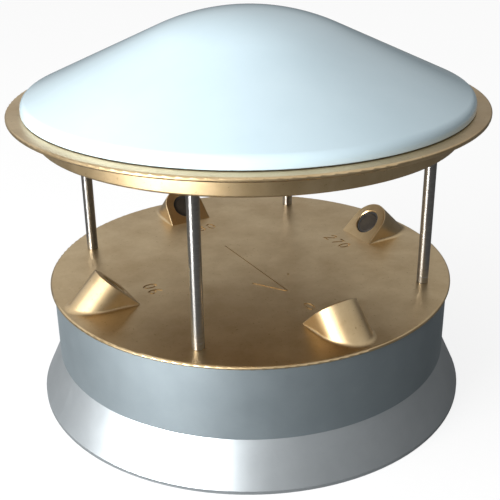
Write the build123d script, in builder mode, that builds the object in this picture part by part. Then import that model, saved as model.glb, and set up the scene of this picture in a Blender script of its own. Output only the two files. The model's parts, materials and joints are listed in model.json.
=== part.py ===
from build123d import *
from math import cos, radians, sin, sqrt, tan
import os

# GNSS receiver head with an ultrasonic wind sensor, modelled in millimetres.
# The origin is at the centre of the underside. +Z is up, +Y points to the 0 degree
# transducer and +X to the 90 degree transducer, so bearings run clockwise from above.

# ---------------------------------------------------------------- driving dimensions

# Deck plate
deck_dia = 180.0
deck_top = 53.0
deck_thk = 6.0
lip_thk = 1.7
lip_round = 0.8
o_ring_section = 1.7
o_ring_groove_height = 2.2
o_ring_below_lip = 2.0
deck_thread_floor = 1.5

# Housing band and mounting skirt
band_inset = 1.5
band_wall = 4.0
band_top_chamfer = 0.5
seam_height = 19.5
skirt_flare = 8.3
skirt_step = 0.25
skirt_wall = 3.5
skirt_edge = 1.5
clamp_ring_thk = 4.0
foot_pillar_dia = 14.0
foot_hole_inset = 17.8
foot_hole_depth = 12.0
ledge_thk = 4.0
upper_ledge_width = 9.5
lower_ledge_width = 18.5
base_screw_margin = 1.5
post_notch_dia = 13.0

# Upper plate: a tray whose floor is the reflector
rim_overhang = 10.5
rim_thk = 1.9
rim_top_above_deck = 77.5
rim_round = 0.7
drum_inset = 0.2
drum_height = 9.2
drum_wall = 2.5
drum_round = 0.9
floor_thk = 2.5
pad_dia = 120.0
pad_thk = 2.5

# Radome
radome_setback = 6.1
radome_wall = 2.5
radome_side = 3.18
crown_excess = 0.6
flank_angle = 24.5
shoulder_round = 4.0
radome_gasket_thk = 1.2
radome_gasket_inset = 1.0
radome_gasket_width = 2.8
radome_post_dia = 9.0
radome_post_inset = 9.8
radome_post_count = 6
radome_screw_depth = 9.0
insert_length = 6.0
insert_radius = 2.1

# Support posts
post_stud_dia = 4.0
post_shoulder = 0.5
post_stud_wall = 0.7
post_inset = 12.0
post_count = 4
post_first_angle = 45.0

# Transducer bosses
boss_bearings = (0, 90, 180, 270)
boss_tilt = 45.0
boss_setback = 23.8
boss_face_height = 6.7
boss_wall = 4.2
boss_flare = 0.8
boss_bore_dia = 12.0
boss_bore_depth = 9.0
sleeve_wall = 1.0
transducer_len = 6.0
transducer_recess = 1.0
transducer_edge = 0.4
lead_dia = 1.5
lead_hole_dia = 3.2
lead_drop_setback = 7.0
boss_screw_setback = 0.8
boss_screw_wall = 2.1
boss_thread_depth = 4.5
boss_length = 40.0
boss_cut_reach = 4.0
lead_bend_share = 0.45

# Engraved marks on the deck
mark_depth = 0.4
mark_stroke = 0.9
digit_height = 6.5
digit_width = 4.0
digit_pitch = 5.6
one_flag_share = 0.8
nine_bend_across = 0.8
nine_bend_down = 0.7
nine_tail_share = 0.6
seven_foot_share = 0.3
label_gap = 17.2
arrow_gap = 16.2
arrow_wing = 17.6
arrow_angle = 32.0
arrow_tail_radius = 24.0
arrow_shaft_stroke = 0.5

# Antenna stack
ground_plane_dia = 116.0
ground_plane_thk = 1.5
ground_plane_gap = 8.0
substrate_size = 60.0
substrate_thk = 6.0
radiator_size = 52.0
radiator_thk = 0.5
lna_size = 50.0
board_thk = 1.6
shield_size = 30.0
shield_thk = 3.5
shield_wall = 0.4
feed_pin_dia = 1.3
feed_offset = 8.0
antenna_standoff_circle = 90.0
antenna_standoff_count = 4
antenna_thread_depth = 5.0
substrate_corner = 2.0
radiator_corner = 1.0

# Base plate, pole bush and vent
base_thk = 4.0
base_gasket_thk = 0.8
hub_dia = 34.0
hub_fillet = 3.0
bush_dia = 22.0
bush_length = 18.0
bush_bore_dia = 13.5
bush_chamfer = 1.2
vent_radius = 48.0
vent_neck_dia = 8.0
vent_head_dia = 14.0
vent_head_thk = 4.0
vent_hole_dia = 2.0

# Boards
board_dia = 116.0
driver_board_dia = 110.0
board_standoff_circle = 100.0
board_standoff_count = 4
board_thread_depth = 2.5
board_first_angle = 22.5
mainboard_height = 8.5
driver_board_height = 5.4
module_size = (40.0, 30.0, 3.5)
module_place = (18.0, 14.0)
module_corner = 1.0
module_chamfer = 0.3
chip_places = ((-24.0, 16.0), (-26.0, -8.0), (6.0, -20.0))
chip_sizes = (12.0, 9.0, 7.0)
chip_height = 1.5
header_size = (5.0, 6.0, 5.0)
header_radius = 49.5

# Connector and its hinged cap
connector_radius = 46.0
flange_margin = 4.0
flange_thk = 3.0
flange_corner = 3.0
connector_screw_inset = 3.5
connector_thread_depth = 3.0
connector_gasket_thk = 0.8
barrel_dia = 18.0
barrel_length = 8.2
barrel_wall = 1.5
neck_step = 1.0
neck_wall = 1.5
neck_rise = 5.5
pin_dia = 1.0
pin_circle_inset = 2.5
pin_ring_count = 6
pin_reach = 6.5
pin_tail = 2.0
insert_thk = 12.0
hinge_gap = 4.5
hinge_drop = 6.7
hinge_pin_dia = 2.0
knuckle_dia = 4.4
knuckle_width = 4.6
lug_thk = 2.0
lug_gap = 0.4
lug_margin = 0.3
spring_wire = 0.6
spring_coils = 5
spring_pitch = 0.5
cap_wall = 1.1
cap_thk = 2.5
cap_rise = 2.3
cap_chamfer = 0.5
cap_side_gap = 0.4
cap_seal_thk = 0.8
cap_seal_gap = 0.1
cap_seal_overlap = 1.0

# Coax lead
coax_dia = 1.8
coax_plug_dia = 4.0
coax_plug_length = 6.0
lna_plug_radius = 26.0
board_plug_radius = 43.5
coax_edge_gap = 1.0
coax_rise_run = 5.5
coax_loop_rise = 7.8
coax_bends = (7.0, 5.5, 6.0, 9.0)

# Screws: shank radius, head radius, head height
m4_screw = (1.95, 3.5, 3.0)
m3_screw = (1.45, 2.75, 2.5)
m25_screw = (1.2, 2.25, 2.2)
foot_hole_dia = 4.2
foot_hole_count = 4
deck_screw_count = 8
base_screw_count = 8
ring_screw_angle = 22.5
socket_share = 0.55
socket_width_share = 0.8
flat_socket_width_share = 0.7
thread_spare = 0.5
stud_spare = 1.0
nut_flats = 7.0
nut_thk = 3.2
washer_dia = 9.0
washer_thk = 0.8
standoff_flats = 5.5
stud_length = 2.0

# Clearances
thread_gap = 0.05
screw_gap = 0.25
slip_gap = 0.2
running_gap = 0.05
pick_gap = 0.01

# ---------------------------------------------------------------- derived positions

band_dia = deck_dia - 2 * band_inset
skirt_foot_dia = band_dia + 2 * skirt_flare
foot_hole_circle = skirt_foot_dia - 2 * foot_hole_inset
rim_dia = deck_dia + 2 * rim_overhang
drum_dia = deck_dia - 2 * drum_inset
radome_dia = rim_dia - 2 * radome_setback
radome_post_circle = drum_dia - 2 * radome_post_inset
post_dia = post_stud_dia + 2 * post_shoulder
post_bore_dia = post_stud_dia - 2 * post_stud_wall
post_circle = deck_dia - 2 * post_inset
boss_face_radius = deck_dia / 2 - boss_setback
boss_round_radius = boss_bore_dia / 2 + boss_wall
lead_drop_radius = boss_face_radius + lead_drop_setback
boss_screw_radius = boss_face_radius + boss_screw_setback
boss_screw_side = boss_bore_dia / 2 + boss_screw_wall
label_radius = boss_face_radius - label_gap
arrow_tip_radius = label_radius - arrow_gap

deck_bottom = deck_top - deck_thk
lip_bottom = deck_top - lip_thk
band_bore = band_dia / 2 - band_wall
spigot_radius = band_bore - slip_gap
o_ring_groove_middle = lip_bottom - o_ring_below_lip
deck_thread_depth = deck_thk - deck_thread_floor

rim_top = deck_top + rim_top_above_deck
rim_bottom = rim_top - rim_thk
drum_bottom = rim_bottom - drum_height
floor_top = drum_bottom + floor_thk
pad_top = floor_top + pad_thk
tray_bore = drum_dia / 2 - drum_wall

radome_edge = rim_top + radome_gasket_thk
crown_radius = radome_dia / 2 + crown_excess
flank_start_radius = crown_radius * sin(radians(flank_angle))
flank_drop = (radome_dia / 2 - flank_start_radius) * tan(radians(flank_angle))
flank_start_height = radome_edge + radome_side + flank_drop
crown_centre_height = flank_start_height - crown_radius * cos(radians(flank_angle))
radome_height = crown_centre_height + crown_radius - radome_edge
ground_plane_bottom = pad_top + ground_plane_gap
substrate_bottom = ground_plane_bottom + ground_plane_thk
radiator_bottom = substrate_bottom + substrate_thk
lna_bottom = ground_plane_bottom - board_thk

base_top = seam_height + base_thk
lower_ledge_bottom = base_top + base_gasket_thk
lower_ledge_bore = band_bore - lower_ledge_width
upper_ledge_bore = band_bore - upper_ledge_width
deck_screw_circle = 2 * (upper_ledge_bore + upper_ledge_width / 2)
base_screw_circle = 2 * (lower_ledge_bore + m4_screw[1] + base_screw_margin)

mainboard_bottom = base_top + mainboard_height
mainboard_top = mainboard_bottom + board_thk
driver_bottom = mainboard_top + driver_board_height
driver_top = driver_bottom + board_thk

flange_size = barrel_dia + 2 * flange_margin
barrel_bore = barrel_dia - 2 * barrel_wall
neck_dia = barrel_dia - 2 * neck_step
neck_bore = neck_dia - 2 * neck_wall
pin_circle = neck_bore - 2 * pin_circle_inset
hinge_offset = barrel_dia / 2 + hinge_gap
connector_y = -connector_radius
flange_top = seam_height - connector_gasket_thk
flange_bottom = flange_top - flange_thk
mouth_height = flange_bottom - barrel_length
hinge_y = connector_y - hinge_offset
hinge_z = flange_bottom - hinge_drop
connector_screw_pitch = flange_size - 2 * connector_screw_inset


# ---------------------------------------------------------------- shared hardware

def screw(size, length):
    """Socket screw: bearing face at the origin, shank up, head down."""
    shank_radius, head_radius, head_height = size
    with BuildPart() as body:
        Cylinder(shank_radius, length, align=(Align.CENTER, Align.CENTER, Align.MIN))
        Cylinder(head_radius, head_height, align=(Align.CENTER, Align.CENTER, Align.MAX))
        with BuildSketch(Plane.XY.offset(-head_height)):
            RegularPolygon(shank_radius * socket_width_share, 6)
        extrude(amount=head_height * socket_share, mode=Mode.SUBTRACT)
    return body.part


def countersunk_screw(size, length):
    """Flat-head screw: head face at the origin, shank up."""
    shank_radius, head_radius, head_height = size
    with BuildPart() as body:
        Cylinder(shank_radius, length, align=(Align.CENTER, Align.CENTER, Align.MIN))
        cone_height = head_radius - shank_radius
        Cone(head_radius, shank_radius, cone_height, align=(Align.CENTER, Align.CENTER, Align.MIN))
        with BuildSketch():
            RegularPolygon(shank_radius * flat_socket_width_share, 6)
        extrude(amount=cone_height, mode=Mode.SUBTRACT)
    return body.part


def standoff(length, lower_stud, upper_hole):
    """Hexagonal spacer: lower face at the origin, optional stud below and thread above."""
    with BuildPart() as body:
        with BuildSketch():
            RegularPolygon(standoff_flats / 2, 6, major_radius=False)
        extrude(amount=length)
        if lower_stud:
            Cylinder(m3_screw[0], lower_stud, align=(Align.CENTER, Align.CENTER, Align.MAX))
        with Locations((0, 0, length)):
            Hole(m3_screw[0] + thread_gap, depth=upper_hole)
    return body.part


def ring(outer_radius, inner_radius, thickness):
    """Flat ring standing on the origin plane."""
    with BuildPart() as body:
        with BuildSketch():
            Circle(outer_radius)
            Circle(inner_radius, mode=Mode.SUBTRACT)
        extrude(amount=thickness)
    return body.part


def bearing_unit(bearing):
    """Horizontal unit vector at a compass bearing."""
    return Vector(sin(radians(bearing)), cos(radians(bearing)), 0)


def bearing_point(bearing, radius, height):
    """Point at a compass bearing, a radius from the axis and a height."""
    return bearing_unit(bearing) * radius + Vector(0, 0, height)


def boss_screw_points(bearing, height):
    """The two screw positions under a boss, either side of its bore."""
    outward = bearing_unit(bearing)
    across = Vector(outward.Y, -outward.X, 0) * boss_screw_side
    centre = bearing_point(bearing, boss_screw_radius, height)
    return [centre + across, centre - across]


def deck_plane(bearing, radius):
    """Plane on the deck's top face: Y outwards along the bearing, Z up."""
    outward = bearing_unit(bearing)
    return Plane(
        origin=bearing_point(bearing, radius, deck_top),
        x_dir=Vector(outward.Y, -outward.X, 0),
        z_dir=(0, 0, 1),
    )


def boss_plane(bearing, depth=0.0):
    """Plane of a boss face, facing up and inwards, moved back into the boss by depth."""
    outward = bearing_unit(bearing)
    normal = outward * -sin(radians(boss_tilt)) + Vector(0, 0, cos(radians(boss_tilt)))
    centre = bearing_point(bearing, boss_face_radius, deck_top + boss_face_height)
    return Plane(
        origin=centre - normal * depth,
        x_dir=Vector(outward.Y, -outward.X, 0),
        z_dir=normal,
    )


# ---------------------------------------------------------------- radome

def radome_section(inset):
    """Half section of the bell, each face moved inwards by inset."""
    radius = crown_radius - inset
    edge_radius = radome_dia / 2 - inset
    angle = radians(flank_angle)
    flank_start = (radius * sin(angle), crown_centre_height + radius * cos(angle))
    shoulder_height = flank_start[1] - (edge_radius - flank_start[0]) * tan(angle)
    with BuildSketch(Plane.XZ) as section:
        with BuildLine():
            CenterArc((0, crown_centre_height), radius, 90 - flank_angle, flank_angle)
            flank = Line(flank_start, (edge_radius, shoulder_height))
            side = Line(flank @ 1, (edge_radius, radome_edge))
            Polyline(side @ 1, (0, radome_edge), (0, crown_centre_height + radius))
        make_face()
        corner = section.vertices().filter_by_position(
            Axis.X, edge_radius - pick_gap, edge_radius + pick_gap
        ).sort_by(Axis.Y)[-1]
        fillet(corner, shoulder_round - inset)
    return section.sketch


with BuildPart() as radome_cavity:
    add(radome_section(radome_wall))
    revolve(axis=Axis.Z)
    with BuildSketch(Plane.XY.offset(radome_edge)):
        with PolarLocations(radome_post_circle / 2, radome_post_count):
            Circle(radome_post_dia / 2)
    extrude(amount=radome_height, mode=Mode.SUBTRACT)

with BuildPart() as radome:
    add(radome_section(0))
    revolve(axis=Axis.Z)
    add(radome_cavity.part, mode=Mode.SUBTRACT)
    with BuildSketch(Plane.XY.offset(floor_top)):
        with PolarLocations(radome_post_circle / 2, radome_post_count):
            Circle(radome_post_dia / 2)
    extrude(amount=radome_edge - floor_top)
    with BuildSketch(Plane.XY.offset(floor_top)):
        with PolarLocations(radome_post_circle / 2, radome_post_count):
            Circle(insert_radius)
    extrude(amount=radome_screw_depth, mode=Mode.SUBTRACT)

with BuildPart(Plane.XY.offset(floor_top)) as radome_inserts:
    with PolarLocations(radome_post_circle / 2, radome_post_count):
        add(ring(insert_radius, m3_screw[0] + thread_gap, insert_length))

with BuildPart(Plane.XY.offset(drum_bottom)) as radome_screws:
    with PolarLocations(radome_post_circle / 2, radome_post_count):
        add(countersunk_screw(m3_screw, floor_thk + insert_length))

radome_gasket_radius = radome_dia / 2 - radome_gasket_inset
with BuildPart(Plane.XY.offset(rim_top)) as radome_gasket:
    with Locations((0, 0)):
        add(ring(radome_gasket_radius, radome_gasket_radius - radome_gasket_width, radome_gasket_thk))

# ---------------------------------------------------------------- upper plate

with BuildPart() as upper_plate:
    with BuildSketch(Plane.XZ) as tray_section:
        with BuildLine():
            Polyline(
                (0, drum_bottom),
                (drum_dia / 2, drum_bottom),
                (drum_dia / 2, rim_bottom),
                (rim_dia / 2, rim_bottom),
                (rim_dia / 2, rim_top),
                (tray_bore, rim_top),
                (tray_bore, floor_top),
                (pad_dia / 2, floor_top),
                (pad_dia / 2, pad_top),
                (0, pad_top),
                close=True,
            )
        make_face()
        rim_corners = tray_section.vertices().group_by(Axis.X)[-1]
        fillet(rim_corners, rim_round)
        drum_corner = tray_section.vertices().filter_by_position(
            Axis.X, drum_dia / 2 - pick_gap, drum_dia / 2 + pick_gap
        ).sort_by(Axis.Y)[0]
        fillet(drum_corner, drum_round)
    revolve(axis=Axis.Z)
    with BuildSketch(Plane.XY.offset(drum_bottom)):
        with PolarLocations(post_circle / 2, post_count, start_angle=post_first_angle):
            Circle(post_stud_dia / 2 + thread_gap)
        with PolarLocations(radome_post_circle / 2, radome_post_count):
            Circle(m3_screw[0] + thread_gap)
    extrude(amount=floor_thk, mode=Mode.SUBTRACT)
    with Locations(Plane.XY.offset(drum_bottom)):
        with PolarLocations(radome_post_circle / 2, radome_post_count):
            Cone(
                m3_screw[1] + thread_gap,
                m3_screw[0] + thread_gap,
                m3_screw[1] - m3_screw[0],
                align=(Align.CENTER, Align.CENTER, Align.MIN),
                mode=Mode.SUBTRACT,
            )
    with BuildSketch(Plane.XY.offset(pad_top)):
        with PolarLocations(antenna_standoff_circle / 2, antenna_standoff_count):
            Circle(m3_screw[0] + thread_gap)
    extrude(amount=-(stud_length + slip_gap), mode=Mode.SUBTRACT)

# ---------------------------------------------------------------- support posts

post_low_end = deck_bottom
post_high_end = floor_top + washer_thk + nut_thk + stud_spare


def support_post(angle):
    """Hollow post between the deck and the tray, with a thinner stud at each end."""
    with BuildPart(Plane.XY) as body:
        with BuildSketch(Plane.XY.offset(post_low_end)):
            with PolarLocations(post_circle / 2, 1, start_angle=angle):
                Circle(post_stud_dia / 2)
        extrude(amount=post_high_end - post_low_end)
        with BuildSketch(Plane.XY.offset(deck_top)):
            with PolarLocations(post_circle / 2, 1, start_angle=angle):
                Circle(post_dia / 2)
        extrude(amount=drum_bottom - deck_top)
        with BuildSketch(Plane.XY.offset(post_low_end)):
            with PolarLocations(post_circle / 2, 1, start_angle=angle):
                Circle(post_bore_dia / 2)
        extrude(amount=post_high_end - post_low_end, mode=Mode.SUBTRACT)
    return body.part


support_posts = []
for post_index in range(post_count):
    post = support_post(post_first_angle + post_index * 360 / post_count)
    post.label = f"support_post_{post_index + 1}"
    support_posts.append(post)

with BuildPart() as nut_blank:
    with BuildSketch():
        RegularPolygon(nut_flats / 2, 6, major_radius=False)
        Circle(post_stud_dia / 2 + thread_gap, mode=Mode.SUBTRACT)
    extrude(amount=nut_thk)

with BuildPart(Plane.XY.offset(floor_top)) as post_washers:
    with PolarLocations(post_circle / 2, post_count, start_angle=post_first_angle):
        add(ring(washer_dia / 2, post_stud_dia / 2 + thread_gap, washer_thk))

with BuildPart(Plane.XY.offset(floor_top + washer_thk)) as post_nuts:
    with PolarLocations(post_circle / 2, post_count, start_angle=post_first_angle):
        add(nut_blank.part)

# ---------------------------------------------------------------- deck plate

def digit(numeral):
    """Single-stroke numeral centred on the origin."""
    half_width = digit_width / 2 - mark_stroke / 2
    half_height = digit_height / 2 - mark_stroke / 2
    loop = half_height / 2
    with BuildSketch() as face:
        if numeral == "0":
            Ellipse(half_width + mark_stroke / 2, half_height + mark_stroke / 2)
            Ellipse(half_width - mark_stroke / 2, half_height - mark_stroke / 2, mode=Mode.SUBTRACT)
        if numeral == "8":
            with Locations((0, loop), (0, -loop)):
                Circle(loop + mark_stroke / 2)
            with Locations((0, loop), (0, -loop)):
                Circle(loop - mark_stroke / 2, mode=Mode.SUBTRACT)
        if numeral == "9":
            with BuildLine():
                CenterArc((0, loop), loop, 0, 360)
            trace(line_width=mark_stroke)
            with BuildLine():
                ThreePointArc(
                    (loop, loop),
                    (loop * nine_bend_across, -loop * nine_bend_down),
                    (-loop * nine_tail_share, -half_height),
                )
            trace(line_width=mark_stroke)
        if numeral == "1":
            with BuildLine():
                Polyline((-half_width * one_flag_share, loop), (0, half_height), (0, -half_height))
            trace(line_width=mark_stroke)
        if numeral == "2":
            with BuildLine():
                bend = ThreePointArc((-half_width, loop), (0, half_height), (half_width, loop))
                Polyline(bend @ 1, (-half_width, -half_height), (half_width, -half_height))
            trace(line_width=mark_stroke)
        if numeral == "7":
            with BuildLine():
                Polyline(
                    (-half_width, half_height),
                    (half_width, half_height),
                    (-half_width * seven_foot_share, -half_height),
                )
            trace(line_width=mark_stroke)
    return face.sketch


def arrow_mark():
    """Open arrow pointing along +Y, centred on the deck's axis."""
    reach = arrow_wing * cos(radians(arrow_angle))
    spread = arrow_wing * sin(radians(arrow_angle))
    with BuildSketch() as face:
        with BuildLine():
            Polyline(
                (-spread, arrow_tip_radius - reach),
                (0, arrow_tip_radius),
                (spread, arrow_tip_radius - reach),
            )
        trace(line_width=mark_stroke)
        with BuildLine():
            Line((0, -arrow_tail_radius), (0, arrow_tip_radius))
        trace(line_width=arrow_shaft_stroke)
    return face.sketch


with BuildPart() as deck_plate:
    with BuildSketch(Plane.XZ) as deck_section:
        with BuildLine():
            Polyline(
                (0, deck_bottom),
                (spigot_radius, deck_bottom),
                (spigot_radius, lip_bottom),
                (deck_dia / 2, lip_bottom),
                (deck_dia / 2, deck_top),
                (0, deck_top),
                close=True,
            )
        make_face()
        fillet(deck_section.vertices().group_by(Axis.X)[-1], lip_round)
        with Locations((spigot_radius, o_ring_groove_middle)):
            Rectangle(2 * (o_ring_section - slip_gap), o_ring_groove_height, mode=Mode.SUBTRACT)
    revolve(axis=Axis.Z)
    with BuildSketch(Plane.XY.offset(deck_bottom)):
        with PolarLocations(post_circle / 2, post_count, start_angle=post_first_angle):
            Circle(post_stud_dia / 2 + thread_gap)
    extrude(amount=deck_thk, mode=Mode.SUBTRACT)
    with BuildSketch(Plane.XY.offset(deck_bottom)):
        with PolarLocations(deck_screw_circle / 2, deck_screw_count, start_angle=ring_screw_angle):
            Circle(m3_screw[0] + thread_gap)
    extrude(amount=deck_thread_depth, mode=Mode.SUBTRACT)
    for bearing in boss_bearings:
        with BuildSketch(boss_plane(bearing)):
            Circle(boss_bore_dia / 2)
        extrude(amount=-boss_bore_depth, mode=Mode.SUBTRACT)
        with BuildSketch(Plane.XY.offset(deck_bottom)):
            with Locations(bearing_unit(bearing) * lead_drop_radius):
                Circle(lead_hole_dia / 2)
            with Locations(*boss_screw_points(bearing, 0)):
                Circle(m25_screw[0] + screw_gap)
        extrude(amount=deck_thk, mode=Mode.SUBTRACT)
        label = str(bearing)
        with BuildSketch(deck_plane(bearing, label_radius)):
            for place, numeral in enumerate(label):
                with Locations(((place - (len(label) - 1) / 2) * digit_pitch, 0)):
                    add(digit(numeral))
        extrude(amount=-mark_depth, mode=Mode.SUBTRACT)
    with BuildSketch(Plane.XY.offset(deck_top)):
        add(arrow_mark())
    extrude(amount=-mark_depth, mode=Mode.SUBTRACT)

with BuildPart() as deck_o_ring:
    with BuildSketch(Plane.XZ):
        with Locations((band_bore - o_ring_section / 2, o_ring_groove_middle)):
            Circle(o_ring_section / 2)
    revolve(axis=Axis.Z)

with BuildPart(Plane.XY.offset(deck_bottom - ledge_thk)) as deck_screws:
    with PolarLocations(deck_screw_circle / 2, deck_screw_count, start_angle=ring_screw_angle):
        add(screw(m3_screw, ledge_thk + deck_thread_depth - thread_spare))

# ---------------------------------------------------------------- transducer bosses

boss_foot_below_centre = boss_face_height / sin(radians(boss_tilt)) + boss_cut_reach
transducer_radius = boss_bore_dia / 2 - sleeve_wall - running_gap
lead_start_depth = transducer_recess + transducer_len


def transducer_boss(bearing):
    """Round-topped block leaning back at the tilt, cut off flat at the deck, with a blind bore."""
    flare_width = boss_round_radius + boss_flare
    with BuildPart() as body:
        with BuildSketch(boss_plane(bearing)):
            with BuildLine():
                crown = CenterArc((0, 0), boss_round_radius, 0, 180)
                Polyline(
                    crown @ 1,
                    (-flare_width, -boss_foot_below_centre),
                    (flare_width, -boss_foot_below_centre),
                    crown @ 0,
                )
            make_face()
        extrude(amount=-boss_length)
        split(bisect_by=Plane.XY.offset(deck_top), keep=Keep.TOP)
        with BuildSketch(boss_plane(bearing)):
            Circle(boss_bore_dia / 2)
        extrude(amount=-boss_bore_depth, mode=Mode.SUBTRACT)
        with BuildSketch(Plane.XY.offset(deck_top)):
            with Locations(*boss_screw_points(bearing, 0)):
                Circle(m25_screw[0] + thread_gap)
        extrude(amount=boss_thread_depth, mode=Mode.SUBTRACT)
        with BuildSketch(Plane.XY.offset(deck_top)):
            with Locations(bearing_unit(bearing) * lead_drop_radius):
                Circle(lead_hole_dia / 2)
        extrude(amount=lead_hole_dia / 2, mode=Mode.SUBTRACT)
    return body.part


def ultrasonic_transducer(bearing):
    """Round transducer can with a slightly rounded front edge."""
    with BuildPart() as body:
        with BuildSketch(boss_plane(bearing, transducer_recess)):
            Circle(transducer_radius)
        extrude(amount=-transducer_len)
        front = body.edges().filter_by(GeomType.CIRCLE).sort_by(Axis.Z)[-1]
        fillet(front, transducer_edge)
    return body.part


def transducer_lead(bearing):
    """Lead from the back of a transducer, down through the deck and in to its board header."""
    start = boss_plane(bearing, lead_start_depth).origin
    lead_height = driver_top + header_size[2] / 2
    knee_height = start.Z - (lead_drop_radius - Vector(start.X, start.Y).length)
    corners = [
        start,
        bearing_point(bearing, lead_drop_radius, knee_height),
        bearing_point(bearing, lead_drop_radius, lead_height),
        bearing_point(bearing, header_radius + header_size[0] / 2, lead_height),
    ]
    first_run = (corners[1] - corners[0]).length
    second_run = (corners[2] - corners[1]).length
    bends = [lead_bend_share * first_run / tan(radians(boss_tilt / 2)), lead_bend_share * second_run]
    with BuildPart() as body:
        with BuildLine() as route:
            FilletPolyline(*corners, radius=bends)
        with BuildSketch(Plane(origin=route.wire() @ 0, z_dir=route.wire() % 0)):
            Circle(lead_dia / 2)
        sweep()
    return body.part


transducer_bosses = []
transducers = []
with BuildPart() as transducer_sleeves:
    for bearing in boss_bearings:
        with BuildSketch(boss_plane(bearing, transducer_recess)):
            Circle(boss_bore_dia / 2)
            Circle(transducer_radius, mode=Mode.SUBTRACT)
        extrude(amount=-transducer_len)
with BuildPart() as transducer_leads:
    for bearing in boss_bearings:
        add(transducer_lead(bearing))
for bearing in boss_bearings:
    boss = transducer_boss(bearing)
    boss.label = f"transducer_boss_{bearing}"
    transducer_bosses.append(boss)
    transducer = ultrasonic_transducer(bearing)
    transducer.label = f"ultrasonic_transducer_{bearing}"
    transducers.append(transducer)

with BuildPart(Plane.XY.offset(deck_bottom)) as boss_screws:
    for bearing in boss_bearings:
        with Locations(*boss_screw_points(bearing, 0)):
            add(screw(m25_screw, deck_thk + boss_thread_depth - thread_spare))

# ---------------------------------------------------------------- housing band

with BuildPart() as housing_band:
    with BuildSketch(Plane.XZ) as band_section:
        with BuildLine():
            Polyline(
                (band_dia / 2, seam_height),
                (band_dia / 2, lip_bottom),
                (band_bore, lip_bottom),
                (band_bore, deck_bottom),
                (upper_ledge_bore, deck_bottom),
                (upper_ledge_bore, deck_bottom - ledge_thk),
                (band_bore, deck_bottom - ledge_thk),
                (band_bore, lower_ledge_bottom + ledge_thk),
                (lower_ledge_bore, lower_ledge_bottom + ledge_thk),
                (lower_ledge_bore, lower_ledge_bottom),
                (band_bore, lower_ledge_bottom),
                (band_bore, seam_height),
                close=True,
            )
        make_face()
        outer_top = band_section.vertices().group_by(Axis.X)[-1].sort_by(Axis.Y)[-1]
        chamfer(outer_top, band_top_chamfer)
    revolve(axis=Axis.Z)
    with BuildSketch(Plane.XY.offset(deck_bottom)):
        with PolarLocations(deck_screw_circle / 2, deck_screw_count, start_angle=ring_screw_angle):
            Circle(m3_screw[0] + screw_gap)
        with PolarLocations(post_circle / 2, post_count, start_angle=post_first_angle):
            Circle(post_notch_dia / 2)
    extrude(amount=-ledge_thk, mode=Mode.SUBTRACT)
    with BuildSketch(Plane.XY.offset(lower_ledge_bottom)):
        with PolarLocations(base_screw_circle / 2, base_screw_count, start_angle=ring_screw_angle):
            Circle(m4_screw[0] + thread_gap)
    extrude(amount=ledge_thk, mode=Mode.SUBTRACT)

# ---------------------------------------------------------------- mounting skirt

skirt_top_radius = band_dia / 2 - skirt_step
foot_radius = skirt_foot_dia / 2
flange_underside = seam_height - clamp_ring_thk
cone_slope = (foot_radius - skirt_top_radius) / (seam_height - skirt_edge)
wall_across = skirt_wall * sqrt(1 + cone_slope**2)


def skirt_radius(height):
    """Outer radius of the cone at a height."""
    return foot_radius - cone_slope * (height - skirt_edge)


with BuildPart() as mounting_skirt:
    with BuildSketch(Plane.XZ):
        with BuildLine():
            Polyline(
                (skirt_radius(0) - wall_across, 0),
                (foot_radius, 0),
                (foot_radius, skirt_edge),
                (skirt_top_radius, seam_height),
                (skirt_top_radius - wall_across, seam_height),
                close=True,
            )
        make_face()
    revolve(axis=Axis.Z)

# The clamp ring's taper holds the skirt up against the band.
with BuildPart() as clamp_ring:
    with BuildSketch(Plane.XZ):
        with BuildLine():
            Polyline(
                (lower_ledge_bore, flange_underside),
                (skirt_radius(flange_underside) - wall_across - thread_gap, flange_underside),
                (skirt_top_radius - wall_across - thread_gap, seam_height),
                (lower_ledge_bore, seam_height),
                close=True,
            )
        make_face()
    revolve(axis=Axis.Z)
    with BuildSketch():
        with PolarLocations(foot_hole_circle / 2, foot_hole_count, start_angle=post_first_angle):
            Circle(foot_pillar_dia / 2)
    extrude(amount=flange_underside)
    with BuildSketch(Plane.XY.offset(flange_underside)):
        with PolarLocations(base_screw_circle / 2, base_screw_count, start_angle=ring_screw_angle):
            Circle(m4_screw[0] + screw_gap)
    extrude(amount=clamp_ring_thk, mode=Mode.SUBTRACT)
    with BuildSketch():
        with PolarLocations(foot_hole_circle / 2, foot_hole_count, start_angle=post_first_angle):
            Circle(foot_hole_dia / 2)
    extrude(amount=foot_hole_depth, mode=Mode.SUBTRACT)

# ---------------------------------------------------------------- base plate

base_radius = band_bore - slip_gap

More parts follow.
